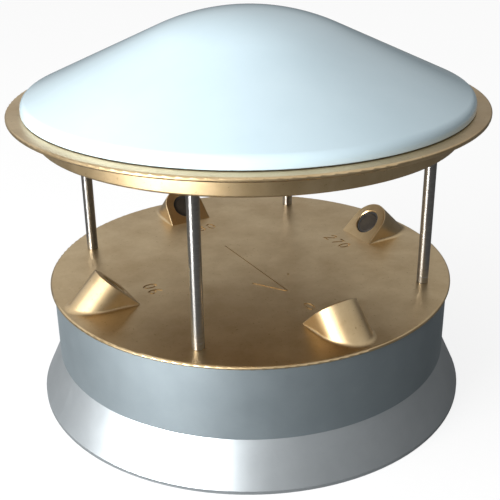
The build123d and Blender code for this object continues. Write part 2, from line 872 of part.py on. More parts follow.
with BuildPart() as base_plate:
    with BuildSketch(Plane.XY.offset(seam_height)):
        Circle(base_radius)
    extrude(amount=base_thk)
    with BuildSketch():
        Circle(hub_dia / 2)
    extrude(amount=seam_height)
    hub_root = base_plate.edges().filter_by(GeomType.CIRCLE).filter_by(
        lambda edge: abs(edge.radius - hub_dia / 2) < pick_gap and edge.center().Z > seam_height - pick_gap
    )
    fillet(hub_root, hub_fillet)
    with BuildSketch():
        Circle(bush_dia / 2 + thread_gap)
    extrude(amount=bush_length + slip_gap, mode=Mode.SUBTRACT)
    with BuildSketch(Plane.XY.offset(seam_height)):
        with PolarLocations(base_screw_circle / 2, base_screw_count, start_angle=ring_screw_angle):
            Circle(m4_screw[0] + screw_gap)
        with Locations((0, connector_y)):
            Circle(neck_dia / 2 + slip_gap)
        with Locations((-vent_radius, 0)):
            Circle(vent_neck_dia / 2 + thread_gap)
    extrude(amount=base_thk, mode=Mode.SUBTRACT)
    with BuildSketch(Plane.XY.offset(seam_height)):
        with Locations((0, connector_y)):
            with GridLocations(connector_screw_pitch, connector_screw_pitch, 2, 2):
                Circle(m25_screw[0] + thread_gap)
    extrude(amount=connector_thread_depth, mode=Mode.SUBTRACT)
    with BuildSketch(Plane.XY.offset(base_top)):
        with PolarLocations(board_standoff_circle / 2, board_standoff_count, start_angle=board_first_angle):
            Circle(m3_screw[0] + thread_gap)
    extrude(amount=-(stud_length + slip_gap), mode=Mode.SUBTRACT)

with BuildPart(Plane.XY.offset(base_top)) as base_gasket:
    with BuildSketch(Plane.XY.offset(base_top)):
        Circle(base_radius)
        Circle(lower_ledge_bore, mode=Mode.SUBTRACT)
        with PolarLocations(base_screw_circle / 2, base_screw_count, start_angle=ring_screw_angle):
            Circle(m4_screw[0] + screw_gap, mode=Mode.SUBTRACT)
    extrude(amount=base_gasket_thk)

base_screw_length = lower_ledge_bottom + ledge_thk - flange_underside - thread_spare
with BuildPart(Plane.XY.offset(flange_underside)) as base_screws:
    with PolarLocations(base_screw_circle / 2, base_screw_count, start_angle=ring_screw_angle):
        add(screw(m4_screw, base_screw_length))

with BuildPart() as pole_bush:
    with BuildSketch():
        Circle(bush_dia / 2)
        Circle(bush_bore_dia / 2, mode=Mode.SUBTRACT)
    extrude(amount=bush_length)
    mouth_edge = pole_bush.edges().filter_by(GeomType.CIRCLE).group_by(Axis.Z)[0].sort_by(SortBy.RADIUS)[0]
    chamfer(mouth_edge, bush_chamfer)

with BuildPart() as breather_vent:
    with BuildSketch(Plane.XY.offset(seam_height - vent_head_thk)):
        with Locations((-vent_radius, 0)):
            RegularPolygon(vent_head_dia / 2, 6)
    extrude(amount=vent_head_thk)
    with BuildSketch(Plane.XY.offset(seam_height)):
        with Locations((-vent_radius, 0)):
            Circle(vent_neck_dia / 2)
    extrude(amount=base_thk)
    with BuildSketch(Plane.XY.offset(seam_height - vent_head_thk)):
        with Locations((-vent_radius, 0)):
            Circle(vent_hole_dia / 2)
    extrude(amount=vent_head_thk + base_thk, mode=Mode.SUBTRACT)

# ---------------------------------------------------------------- boards in the housing


def board(diameter, bottom, hole_circle):
    """Round circuit board with four fixing holes."""
    with BuildPart() as body:
        with BuildSketch(Plane.XY.offset(bottom)):
            Circle(diameter / 2)
            with PolarLocations(hole_circle / 2, board_standoff_count, start_angle=board_first_angle):
                Circle(m3_screw[0] + screw_gap, mode=Mode.SUBTRACT)
        extrude(amount=board_thk)
    return body.part


with BuildPart() as mainboard:
    add(board(board_dia, mainboard_bottom, board_standoff_circle))

with BuildPart() as driver_board:
    add(board(driver_board_dia, driver_bottom, board_standoff_circle))

upper_stud = board_thk + stud_length
lower_spacer = standoff(mainboard_height, stud_length, upper_stud)
upper_spacer = standoff(driver_board_height, upper_stud - slip_gap, board_thread_depth)
with BuildPart() as board_spacers:
    with Locations(Plane.XY.offset(base_top)):
        with PolarLocations(board_standoff_circle / 2, board_standoff_count, start_angle=board_first_angle):
            add(lower_spacer)
    with Locations(Plane.XY.offset(mainboard_top)):
        with PolarLocations(board_standoff_circle / 2, board_standoff_count, start_angle=board_first_angle):
            add(upper_spacer)

with BuildPart(Plane((0, 0, driver_top), x_dir=(1, 0, 0), z_dir=(0, 0, -1))) as board_screws:
    with PolarLocations(board_standoff_circle / 2, board_standoff_count, start_angle=-board_first_angle):
        add(screw(m3_screw, board_thk + board_thread_depth - thread_spare))

with BuildPart() as gnss_module:
    with BuildSketch(Plane.XY.offset(mainboard_top)):
        with Locations(module_place):
            RectangleRounded(module_size[0], module_size[1], module_corner)
    extrude(amount=module_size[2])
    chamfer(gnss_module.faces().sort_by(Axis.Z)[-1].edges(), module_chamfer)

with BuildPart() as board_chips:
    for chip_place, chip_size in zip(chip_places, chip_sizes):
        with BuildSketch(Plane.XY.offset(mainboard_top)):
            with Locations(chip_place):
                Rectangle(chip_size, chip_size)
        extrude(amount=chip_height)

with BuildPart() as lead_headers:
    with BuildSketch(Plane.XY.offset(driver_top)):
        with PolarLocations(header_radius, len(boss_bearings)):
            Rectangle(header_size[0], header_size[1])
    extrude(amount=header_size[2])

# ---------------------------------------------------------------- antenna under the radome

feed_places = ((feed_offset, 0), (0, feed_offset))
feed_hole = feed_pin_dia / 2 + running_gap

with BuildPart() as antenna_ground_plane:
    with BuildSketch(Plane.XY.offset(ground_plane_bottom)):
        Circle(ground_plane_dia / 2)
        with PolarLocations(antenna_standoff_circle / 2, antenna_standoff_count):
            Circle(m3_screw[0] + screw_gap, mode=Mode.SUBTRACT)
        with Locations(*feed_places):
            Circle(feed_pin_dia, mode=Mode.SUBTRACT)
    extrude(amount=ground_plane_thk)

with BuildPart() as antenna_substrate:
    with BuildSketch(Plane.XY.offset(substrate_bottom)):
        RectangleRounded(substrate_size, substrate_size, substrate_corner)
        with Locations(*feed_places):
            Circle(feed_hole, mode=Mode.SUBTRACT)
    extrude(amount=substrate_thk)

with BuildPart() as antenna_radiator:
    with BuildSketch(Plane.XY.offset(radiator_bottom)):
        RectangleRounded(radiator_size, radiator_size, radiator_corner)
        with Locations(*feed_places):
            Circle(feed_hole, mode=Mode.SUBTRACT)
    extrude(amount=radiator_thk)

with BuildPart() as antenna_feed_pins:
    with BuildSketch(Plane.XY.offset(lna_bottom)):
        with Locations(*feed_places):
            Circle(feed_pin_dia / 2)
    extrude(amount=radiator_bottom + radiator_thk - lna_bottom)

with BuildPart() as lna_board:
    with BuildSketch(Plane.XY.offset(lna_bottom)):
        Rectangle(lna_size, lna_size)
        with Locations(*feed_places):
            Circle(feed_hole, mode=Mode.SUBTRACT)
    extrude(amount=board_thk)

with BuildPart() as lna_shield:
    with BuildSketch(Plane.XY.offset(lna_bottom)):
        Rectangle(shield_size, shield_size)
    extrude(amount=-shield_thk)
    with BuildSketch(Plane.XY.offset(lna_bottom)):
        Rectangle(shield_size - 2 * shield_wall, shield_size - 2 * shield_wall)
    extrude(amount=-(shield_thk - shield_wall), mode=Mode.SUBTRACT)

with BuildPart(Plane.XY.offset(pad_top)) as antenna_spacers:
    with PolarLocations(antenna_standoff_circle / 2, antenna_standoff_count):
        add(standoff(ground_plane_gap, stud_length, antenna_thread_depth))

with BuildPart(Plane((0, 0, substrate_bottom), x_dir=(1, 0, 0), z_dir=(0, 0, -1))) as antenna_screws:
    with PolarLocations(antenna_standoff_circle / 2, antenna_standoff_count):
        add(screw(m3_screw, ground_plane_thk + antenna_thread_depth - thread_spare))

# ---------------------------------------------------------------- coax lead

plug_height = lna_bottom - coax_plug_dia / 2
coax_angle = post_first_angle
loop_top = radome_edge + coax_loop_rise
loop_start = ground_plane_dia / 2 + coax_edge_gap
board_plug_height = mainboard_top + coax_plug_dia / 2


def polar_point(radius, height):
    """Point on the coax lead's vertical plane."""
    angle = radians(coax_angle)
    return Vector(radius * cos(angle), radius * sin(angle), height)


coax_corners = [
    polar_point(lna_plug_radius + coax_plug_length, plug_height),
    polar_point(loop_start, plug_height),
    polar_point(loop_start + coax_rise_run, loop_top),
    polar_point(post_circle / 2, loop_top),
    polar_point(post_circle / 2, board_plug_height),
    polar_point(board_plug_radius + coax_plug_length, board_plug_height),
]
with BuildPart() as coax_lead:
    with BuildLine() as coax_route:
        FilletPolyline(*coax_corners, radius=coax_bends)
    with BuildSketch(Plane(origin=coax_corners[0], z_dir=coax_corners[1] - coax_corners[0])):
        Circle(coax_dia / 2)
    sweep()

with BuildPart() as coax_plugs:
    for plug_radius, height in ((lna_plug_radius, plug_height), (board_plug_radius, board_plug_height)):
        with BuildSketch(Plane(origin=polar_point(plug_radius, height), z_dir=polar_point(1.0, 0))):
            Circle(coax_plug_dia / 2)
        extrude(amount=coax_plug_length)

# ---------------------------------------------------------------- connector

connector_centre = (0, connector_y)

with BuildPart() as connector_gasket:
    with BuildSketch(Plane.XY.offset(flange_top)):
        with Locations(connector_centre):
            RectangleRounded(flange_size, flange_size, flange_corner)
            Circle(neck_dia / 2 + slip_gap, mode=Mode.SUBTRACT)
            with GridLocations(connector_screw_pitch, connector_screw_pitch, 2, 2):
                Circle(m25_screw[0] + screw_gap, mode=Mode.SUBTRACT)
    extrude(amount=connector_gasket_thk)

lug_inner = knuckle_width + 2 * lug_gap + spring_pitch * spring_coils
lug_outer = lug_inner + 2 * lug_thk
lug_depth = knuckle_dia + 2 * lug_margin


def hinge_plane(x_position):
    """Plane across the hinge axis at a place along it."""
    return Plane(origin=(x_position, hinge_y, hinge_z), x_dir=(0, 1, 0), z_dir=(1, 0, 0))


with BuildPart() as connector_shell:
    with BuildSketch(Plane.XY.offset(flange_bottom)):
        with Locations(connector_centre):
            RectangleRounded(flange_size, flange_size, flange_corner)
        with Locations((0, hinge_y - lug_depth / 2)):
            Rectangle(lug_outer, hinge_offset, align=(Align.CENTER, Align.MIN))
    extrude(amount=flange_thk)
    with BuildSketch(Plane.XY.offset(flange_top)):
        with Locations(connector_centre):
            Circle(neck_dia / 2)
    extrude(amount=base_top + neck_rise - flange_top)
    with BuildSketch(Plane.XY.offset(mouth_height)):
        with Locations(connector_centre):
            Circle(barrel_dia / 2)
    extrude(amount=barrel_length)
    with BuildSketch(Plane.XY.offset(mouth_height)):
        with Locations(connector_centre):
            Circle(neck_bore / 2)
    extrude(amount=base_top + neck_rise - mouth_height, mode=Mode.SUBTRACT)
    with BuildSketch(Plane.XY.offset(mouth_height)):
        with Locations(connector_centre):
            Circle(barrel_bore / 2)
    extrude(amount=barrel_length, mode=Mode.SUBTRACT)
    for side in (-1, 1):
        with BuildSketch(hinge_plane(side * (lug_outer - lug_thk) / 2 - lug_thk / 2)):
            Circle(lug_depth / 2)
            with Locations((0, hinge_drop / 2)):
                Rectangle(lug_depth, hinge_drop)
        extrude(amount=lug_thk)
    with BuildSketch(hinge_plane(-lug_outer / 2)):
        Circle(hinge_pin_dia / 2)
    extrude(amount=lug_outer, mode=Mode.SUBTRACT)
    with BuildSketch(Plane.XY.offset(flange_bottom)):
        with Locations(connector_centre):
            with GridLocations(connector_screw_pitch, connector_screw_pitch, 2, 2):
                Circle(m25_screw[0] + screw_gap)
    extrude(amount=flange_thk, mode=Mode.SUBTRACT)

connector_grip = flange_thk + connector_gasket_thk
with BuildPart(Plane.XY.offset(flange_bottom)) as connector_screws:
    with Locations(connector_centre):
        with GridLocations(connector_screw_pitch, connector_screw_pitch, 2, 2):
            add(screw(m25_screw, connector_grip + connector_thread_depth - thread_spare))

insert_bottom = base_top + neck_rise - insert_thk
with BuildPart() as connector_insert:
    with BuildSketch(Plane.XY.offset(insert_bottom)):
        with Locations(connector_centre):
            Circle(neck_bore / 2)
            Circle(pin_dia / 2, mode=Mode.SUBTRACT)
            with PolarLocations(pin_circle / 2, pin_ring_count):
                Circle(pin_dia / 2, mode=Mode.SUBTRACT)
    extrude(amount=insert_thk)

with BuildPart() as connector_pins:
    with BuildSketch(Plane.XY.offset(insert_bottom - pin_reach)):
        with Locations(connector_centre):
            Circle(pin_dia / 2)
            with PolarLocations(pin_circle / 2, pin_ring_count):
                Circle(pin_dia / 2)
    extrude(amount=pin_reach + insert_thk + pin_tail)

# ---------------------------------------------------------------- hinged connector cap

cap_floor_top = mouth_height - cap_seal_gap - cap_seal_thk
cap_bottom = cap_floor_top - cap_thk
cap_inner_radius = barrel_dia / 2 + cap_side_gap
cap_radius = cap_inner_radius + cap_wall
cap_rim_top = cap_floor_top + cap_rise
knuckle_left = -lug_inner / 2 + lug_gap

with BuildPart() as connector_cap:
    with BuildSketch(Plane.XY.offset(cap_bottom)):
        with Locations(connector_centre):
            Circle(cap_radius)
    extrude(amount=cap_thk)
    chamfer(connector_cap.edges().sort_by(Axis.Z)[0], cap_chamfer)
    with BuildSketch(Plane.XY.offset(cap_bottom)):
        with Locations((knuckle_left, hinge_y - knuckle_dia / 2)):
            Rectangle(
                knuckle_width,
                hinge_offset + knuckle_dia / 2 - cap_inner_radius,
                align=(Align.MIN, Align.MIN),
            )
    extrude(amount=cap_thk)
    with BuildSketch(Plane.XY.offset(cap_floor_top)):
        with Locations(connector_centre):
            Circle(cap_radius)
            Circle(cap_inner_radius, mode=Mode.SUBTRACT)
    extrude(amount=cap_rise)
    with BuildSketch(hinge_plane(knuckle_left)):
        Circle(knuckle_dia / 2)
        with Locations((0, (cap_bottom - hinge_z) / 2)):
            Rectangle(knuckle_dia, hinge_z - cap_bottom)
    extrude(amount=knuckle_width)
    with BuildSketch(hinge_plane(knuckle_left)):
        Circle(hinge_pin_dia / 2 + running_gap)
    extrude(amount=knuckle_width, mode=Mode.SUBTRACT)

with BuildPart() as cap_seal:
    with BuildSketch(Plane.XY.offset(cap_floor_top)):
        with Locations(connector_centre):
            Circle(cap_inner_radius)
            Circle(barrel_bore / 2 - cap_seal_overlap, mode=Mode.SUBTRACT)
    extrude(amount=cap_seal_thk)

with BuildPart() as cap_hinge_pin:
    with BuildSketch(hinge_plane(-lug_outer / 2)):
        Circle(hinge_pin_dia / 2)
    extrude(amount=lug_outer)

spring_radius = hinge_pin_dia / 2 + running_gap + spring_wire / 2
spring_start = knuckle_left + knuckle_width + lug_gap / 2 + spring_wire / 2
with BuildPart() as cap_spring:
    with BuildSketch(Plane.XY) as coil_section:
        with Locations(*[
            (spring_start + turn * spring_pitch, hinge_y + spring_radius) for turn in range(spring_coils)
        ]):
            Circle(spring_wire / 2)
    revolve(axis=Axis((0, hinge_y, 0), (1, 0, 0)))
cap_spring.part.locate(Location((0, 0, hinge_z)))

# ---------------------------------------------------------------- export

os.makedirs("parts", exist_ok=True)

radome.part.label = "radome"
export_step(radome.part, "parts/radome.step")
radome_gasket.part.label = "radome_gasket"
export_step(radome_gasket.part, "parts/radome_gasket.step")
radome_inserts.part.label = "radome_inserts"
export_step(radome_inserts.part, "parts/radome_inserts.step")
radome_screws.part.label = "radome_screws"
export_step(radome_screws.part, "parts/radome_screws.step")
upper_plate.part.label = "upper_plate"
export_step(upper_plate.part, "parts/upper_plate.step")
antenna_ground_plane.part.label = "antenna_ground_plane"
export_step(antenna_ground_plane.part, "parts/antenna_ground_plane.step")
antenna_substrate.part.label = "antenna_substrate"
export_step(antenna_substrate.part, "parts/antenna_substrate.step")
antenna_radiator.part.label = "antenna_radiator"
export_step(antenna_radiator.part, "parts/antenna_radiator.step")
antenna_feed_pins.part.label = "antenna_feed_pins"
export_step(antenna_feed_pins.part, "parts/antenna_feed_pins.step")
antenna_spacers.part.label = "antenna_spacers"
export_step(antenna_spacers.part, "parts/antenna_spacers.step")
antenna_screws.part.label = "antenna_screws"
export_step(antenna_screws.part, "parts/antenna_screws.step")
lna_board.part.label = "lna_board"
export_step(lna_board.part, "parts/lna_board.step")
lna_shield.part.label = "lna_shield"
export_step(lna_shield.part, "parts/lna_shield.step")
coax_lead.part.label = "coax_lead"
export_step(coax_lead.part, "parts/coax_lead.step")
coax_plugs.part.label = "coax_plugs"
export_step(coax_plugs.part, "parts/coax_plugs.step")
post_washers.part.label = "post_washers"
export_step(post_washers.part, "parts/post_washers.step")
post_nuts.part.label = "post_nuts"
export_step(post_nuts.part, "parts/post_nuts.step")
deck_plate.part.label = "deck_plate"
export_step(deck_plate.part, "parts/deck_plate.step")
deck_o_ring.part.label = "deck_o_ring"
export_step(deck_o_ring.part, "parts/deck_o_ring.step")
deck_screws.part.label = "deck_screws"
export_step(deck_screws.part, "parts/deck_screws.step")
transducer_leads.part.label = "transducer_leads"
export_step(transducer_leads.part, "parts/transducer_leads.step")
boss_screws.part.label = "boss_screws"
export_step(boss_screws.part, "parts/boss_screws.step")
housing_band.part.label = "housing_band"
export_step(housing_band.part, "parts/housing_band.step")
mounting_skirt.part.label = "mounting_skirt"
export_step(mounting_skirt.part, "parts/mounting_skirt.step")
clamp_ring.part.label = "clamp_ring"
export_step(clamp_ring.part, "parts/clamp_ring.step")
base_plate.part.label = "base_plate"
export_step(base_plate.part, "parts/base_plate.step")
base_gasket.part.label = "base_gasket"
export_step(base_gasket.part, "parts/base_gasket.step")
base_screws.part.label = "base_screws"
export_step(base_screws.part, "parts/base_screws.step")
pole_bush.part.label = "pole_bush"
export_step(pole_bush.part, "parts/pole_bush.step")
breather_vent.part.label = "breather_vent"
export_step(breather_vent.part, "parts/breather_vent.step")
mainboard.part.label = "mainboard"
export_step(mainboard.part, "parts/mainboard.step")
driver_board.part.label = "driver_board"
export_step(driver_board.part, "parts/driver_board.step")
board_spacers.part.label = "board_spacers"
export_step(board_spacers.part, "parts/board_spacers.step")
board_screws.part.label = "board_screws"
export_step(board_screws.part, "parts/board_screws.step")
board_chips.part.label = "board_chips"
export_step(board_chips.part, "parts/board_chips.step")
gnss_module.part.label = "gnss_module"
export_step(gnss_module.part, "parts/gnss_module.step")
lead_headers.part.label = "lead_headers"
export_step(lead_headers.part, "parts/lead_headers.step")
connector_shell.part.label = "connector_shell"
export_step(connector_shell.part, "parts/connector_shell.step")
connector_gasket.part.label = "connector_gasket"
export_step(connector_gasket.part, "parts/connector_gasket.step")
connector_screws.part.label = "connector_screws"
export_step(connector_screws.part, "parts/connector_screws.step")
connector_insert.part.label = "connector_insert"
export_step(connector_insert.part, "parts/connector_insert.step")
connector_pins.part.label = "connector_pins"
export_step(connector_pins.part, "parts/connector_pins.step")
connector_cap.part.label = "connector_cap"
export_step(connector_cap.part, "parts/connector_cap.step")
cap_seal.part.label = "cap_seal"
export_step(cap_seal.part, "parts/cap_seal.step")
cap_hinge_pin.part.label = "cap_hinge_pin"
export_step(cap_hinge_pin.part, "parts/cap_hinge_pin.step")
cap_spring.part.label = "cap_spring"
export_step(cap_spring.part, "parts/cap_spring.step")
transducer_sleeves.part.label = "transducer_sleeves"
export_step(transducer_sleeves.part, "parts/transducer_sleeves.step")
for piece in support_posts + transducer_bosses + transducers:
    export_step(piece, f"parts/{piece.label}.step")
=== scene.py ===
import json
from math import cos, pi, radians, sin, tan

import bmesh
import bpy
from mathutils import Matrix, Vector


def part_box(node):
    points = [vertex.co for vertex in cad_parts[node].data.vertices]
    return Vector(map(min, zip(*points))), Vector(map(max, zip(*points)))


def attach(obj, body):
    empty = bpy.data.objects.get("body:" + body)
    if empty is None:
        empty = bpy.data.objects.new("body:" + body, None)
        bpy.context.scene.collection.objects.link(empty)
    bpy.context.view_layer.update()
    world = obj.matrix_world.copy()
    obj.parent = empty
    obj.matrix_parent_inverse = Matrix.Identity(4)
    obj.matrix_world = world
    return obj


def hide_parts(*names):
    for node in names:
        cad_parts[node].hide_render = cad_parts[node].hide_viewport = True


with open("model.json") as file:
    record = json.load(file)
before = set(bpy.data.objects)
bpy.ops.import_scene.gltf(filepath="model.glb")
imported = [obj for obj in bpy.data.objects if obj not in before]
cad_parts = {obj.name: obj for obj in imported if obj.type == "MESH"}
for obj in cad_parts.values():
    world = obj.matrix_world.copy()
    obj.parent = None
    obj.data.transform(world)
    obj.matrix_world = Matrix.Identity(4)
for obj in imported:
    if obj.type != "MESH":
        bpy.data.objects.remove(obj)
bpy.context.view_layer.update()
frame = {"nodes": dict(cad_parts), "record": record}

# A GNSS receiver head with an ultrasonic wind sensor. Sizes are in metres. Places and outer
# sizes come from the frame's nodes, and the named values here are the details between them.
# +Y points to the 0 degree transducer and +X to the 90 degree one.

MM = 0.001
HOUSING = "housing"
BEARINGS = (0, 90, 180, 270)
POST_COUNT = 4
GRAIN_DEPTH = 0.05 * MM
LINE_DEPTH = 0.02 * MM


# ---------------------------------------------------------------- node helpers

class Nodes:
    """Adds and links the shader nodes of one material or world."""

    def __init__(self, tree):
        self.tree = tree
        tree.nodes.clear()

    def add(self, kind, **values):
        """A new node; each value is one of its settings or the default of one of its sockets."""
        node = self.tree.nodes.new(kind)
        for name, value in values.items():
            if hasattr(node, name):
                setattr(node, name, value)
            else:
                node.inputs[name.replace("_", " ")].default_value = value
        return node

    def link(self, source, target):
        self.tree.links.new(source, target)

    def ramp(self, source, stops):
        """Map a value to a colour by (place, colour) stops."""
        node = self.add("ShaderNodeValToRGB")
        elements = node.color_ramp.elements
        while len(elements) < len(stops):
            elements.new(0.5)
        for element, (place, colour) in zip(elements, stops):
            element.position = place
            element.color = (*colour, 1.0)
        self.link(source, node.inputs["Fac"])
        return node.outputs["Color"]

    def spread(self, source, low, high):
        """Map a 0 to 1 value to the range low to high."""
        node = self.add("ShaderNodeMapRange", To_Min=low, To_Max=high)
        self.link(source, node.inputs["Value"])
        return node.outputs["Result"]

    def noise(self, scale, detail=3.0, roughness=0.55, stretch=(1, 1, 1)):
        """Noise in the object's own coordinates, scale in features per metre."""
        coordinates = self.add("ShaderNodeTexCoord")
        mapping = self.add("ShaderNodeMapping")
        mapping.inputs["Scale"].default_value = stretch
        self.link(coordinates.outputs["Object"], mapping.inputs["Vector"])
        node = self.add("ShaderNodeTexNoise", Scale=scale, Detail=detail, Roughness=roughness)
        self.link(mapping.outputs["Vector"], node.inputs["Vector"])
        return node.outputs["Fac"]


MATERIALS = {}


def surface(name, metallic=0.0, **sockets):
    """Put a material with one Principled shader in MATERIALS; returns its nodes and shader."""
    material = bpy.data.materials.new(name)
    material.use_nodes = True
    nodes = Nodes(material.node_tree)
    output = nodes.add("ShaderNodeOutputMaterial")
    shader = nodes.add("ShaderNodeBsdfPrincipled")
    shader.inputs["Metallic"].default_value = metallic
    for socket, value in sockets.items():
        shader.inputs[socket.replace("_", " ")].default_value = value
    nodes.link(shader.outputs["BSDF"], output.inputs["Surface"])
    MATERIALS[name] = material
    return nodes, shader


def add_bump(nodes, shader, source, strength, distance):
    bump = nodes.add("ShaderNodeBump", Strength=strength, Distance=distance)
    nodes.link(source, bump.inputs["Height"])
    nodes.link(bump.outputs["Normal"], shader.inputs["Normal"])


def mottled(name, dark, light, rough, metallic=0.0, scale=90, bump=0.15, grain=1500, **sockets):
    """A finish whose colour and roughness drift between two values, with a fine grain."""
    nodes, shader = surface(name, metallic, **sockets)
    drift = nodes.noise(scale, detail=5.0, roughness=0.6)
    colour = nodes.ramp(drift, ((0.35, dark), (0.65, light)))
    nodes.link(colour, shader.inputs["Base Color"])
    nodes.link(nodes.spread(nodes.noise(scale * 1.7, 4.0), *rough), shader.inputs["Roughness"])
    add_bump(nodes, shader, nodes.noise(grain, 2.0), bump, GRAIN_DEPTH)


def gold_coat():
    """Satin gold over machined metal: cloudy drift, small dark specks and a fine grain."""
    dark_gold = (0.53, 0.38, 0.20)
    light_gold = (0.70, 0.54, 0.32)
    clear = (1, 1, 1)
    speck = (0.62, 0.55, 0.45)
    nodes, shader = surface("gold_coat", metallic=1.0, Coat_Weight=0.08, Coat_Roughness=0.3)
    cloud = nodes.ramp(nodes.noise(45, 6.0, 0.65), ((0.32, dark_gold), (0.68, light_gold)))
    specks = nodes.ramp(nodes.noise(900, 2.0, 0.5), ((0.66, clear), (0.76, speck)))
    mix = nodes.add("ShaderNodeMixRGB", blend_type="MULTIPLY")
    mix.inputs["Fac"].default_value = 0.7
    nodes.link(cloud, mix.inputs["Color1"])
    nodes.link(specks, mix.inputs["Color2"])
    nodes.link(mix.outputs["Color"], shader.inputs["Base Color"])
    nodes.link(nodes.spread(nodes.noise(70, 5.0), 0.27, 0.42), shader.inputs["Roughness"])
    add_bump(nodes, shader, nodes.noise(1300, 3.0), 0.22, GRAIN_DEPTH)


def brushed(name, dark, light, rough, stretch, **sockets):
    """Metal with fine lines along the axes whose stretch is small, and a tangent round Z."""
    nodes, shader = surface(name, 1.0, **sockets)
    tangent = nodes.add("ShaderNodeTangent", direction_type="RADIAL", axis="Z")
    nodes.link(tangent.outputs["Tangent"], shader.inputs["Tangent"])
    lines = nodes.noise(300, 4.0, 0.6, stretch)
    nodes.link(nodes.ramp(lines, ((0.3, dark), (0.7, light))), shader.inputs["Base Color"])
    nodes.link(nodes.spread(lines, *rough), shader.inputs["Roughness"])
    add_bump(nodes, shader, lines, 0.12, LINE_DEPTH)


def circuit_board():
    """Green solder mask with faint raised tracks."""
    mask = (0.02, 0.17, 0.07)
    track = (0.05, 0.28, 0.13)
    nodes, shader = surface("board_green", Coat_Weight=0.3, Coat_Roughness=0.2)
    coordinates = nodes.add("ShaderNodeTexCoord")
    tracks = nodes.add("ShaderNodeTexBrick", Scale=160.0)
    nodes.link(coordinates.outputs["Object"], tracks.inputs["Vector"])
    colour = nodes.ramp(tracks.outputs["Fac"], ((0.0, mask), (1.0, track)))
    nodes.link(colour, shader.inputs["Base Color"])
    nodes.link(nodes.spread(nodes.noise(400), 0.3, 0.45), shader.inputs["Roughness"])
    add_bump(nodes, shader, tracks.outputs["Fac"], 0.3, GRAIN_DEPTH)


mottled(
    "radome_white", (0.500, 0.635, 0.700), (0.530, 0.662, 0.726), (0.20, 0.26), scale=25,
    bump=0.04, grain=500, Coat_Weight=0.5, Coat_Roughness=0.10,
)
gold_coat()
brushed(
    "polished_steel", (0.27, 0.265, 0.25), (0.36, 0.35, 0.335), (0.26, 0.31), stretch=(1, 1, 6),
    Anisotropic=0.9, Anisotropic_Rotation=0.25,
)
mottled(
    "band_paint", (0.310, 0.364, 0.392), (0.334, 0.388, 0.416), (0.49, 0.56), metallic=0.95,
    scale=60, bump=0.10,
)
mottled(
    "skirt_silver", (0.54, 0.585, 0.61), (0.58, 0.625, 0.65), (0.33, 0.39), metallic=0.9,
    scale=70, bump=0.10,
)
brushed("bare_aluminium", (0.60, 0.61, 0.62), (0.72, 0.73, 0.74), (0.28, 0.42), stretch=(4, 0.4, 1))
brushed("steel_hardware", (0.46, 0.46, 0.46), (0.58, 0.58, 0.57), (0.22, 0.34), stretch=(1, 1, 3))
mottled(
    "black_rubber", (0.020, 0.020, 0.020), (0.040, 0.038, 0.036), (0.62, 0.78), scale=300, bump=0.3,
)
mottled(
    "transducer_dark", (0.016, 0.012, 0.008), (0.034, 0.026, 0.017), (0.50, 0.65), scale=260,
    bump=0.35,
)
brushed("brass", (0.62, 0.45, 0.20), (0.76, 0.58, 0.30), (0.22, 0.34), stretch=(1, 1, 5))
mottled("ceramic_beige", (0.72, 0.67, 0.58), (0.80, 0.76, 0.68), (0.40, 0.55), scale=200, bump=0.2)
brushed("silver_plate", (0.78, 0.78, 0.75), (0.88, 0.88, 0.86), (0.16, 0.28), stretch=(5, 0.5, 1))
circuit_board()
brushed("shield_can", (0.55, 0.56, 0.57), (0.68, 0.69, 0.70), (0.26, 0.38), stretch=(3, 0.5, 1))
mottled(
    "black_plastic", (0.025, 0.025, 0.028), (0.045, 0.045, 0.050), (0.38, 0.52), scale=350, bump=0.25,
)
mottled(
    "cap_alloy", (0.070, 0.070, 0.078), (0.115, 0.115, 0.125), (0.34, 0.46), metallic=0.6,
    scale=220, bump=0.2,
)
mottled("lead_jacket", (0.17, 0.075, 0.045), (0.26, 0.12, 0.07), (0.42, 0.56), scale=300, bump=0.2)
brushed("nickel", (0.54, 0.52, 0.48), (0.66, 0.64, 0.60), (0.18, 0.30), stretch=(1, 1, 4))

for subpart in frame["record"]["subparts"]:
    cad_mesh = frame["nodes"][subpart["node"]].data
    cad_mesh.materials.clear()
    cad_mesh.materials.append(MATERIALS[subpart["material_slot"]])


# ---------------------------------------------------------------- mesh helpers

LATHE_STEPS = 256
SHARP_ANGLE = radians(35)
ON_AXIS = 1e-7


def rounded_profile(corners, steps=5):
    """Points of an outline whose corners (r, z, radius) are rounded by arcs."""
    points = []
    count = len(corners)
    for index, (r, z, radius) in enumerate(corners):
        here = Vector((r, z))
        if radius <= 0:
            points.append(here)
            continue
        before = Vector(corners[index - 1][:2])
        after = Vector(corners[(index + 1) % count][:2])
        to_before = (before - here).normalized()
        to_after = (after - here).normalized()
        half = to_before.angle(to_after) / 2
        reach = radius / tan(half)
        centre = here + (to_before + to_after).normalized() * (radius / sin(half))
        start = here + to_before * reach - centre
        end = here + to_after * reach - centre
        for step in range(steps + 1):
            blend = start.lerp(end, step / steps)
            points.append(centre + blend.normalized() * radius)
    return points


def finish_mesh(name, mesh, slot, node):
    """Make a piece of the housing from a mesh, smooth it, and let it stand for its CAD node."""
    for polygon in mesh.polygons:
        polygon.use_smooth = True
    mesh.set_sharp_from_angle(angle=SHARP_ANGLE)
    piece = bpy.data.objects.new(name, mesh)
    bpy.context.scene.collection.objects.link(piece)
    mesh.materials.append(MATERIALS[slot])
    weighted = piece.modifiers.new("normals", "WEIGHTED_NORMAL")
    weighted.keep_sharp = True
    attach(piece, HOUSING)
    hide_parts(node)


def mesh_from(build, name):
    """Turn a finished bmesh into a mesh whose faces all look outwards."""
    bmesh.ops.recalc_face_normals(build, faces=build.faces)
    mesh = bpy.data.meshes.new(name)
    build.to_mesh(mesh)
    build.free()
    return mesh


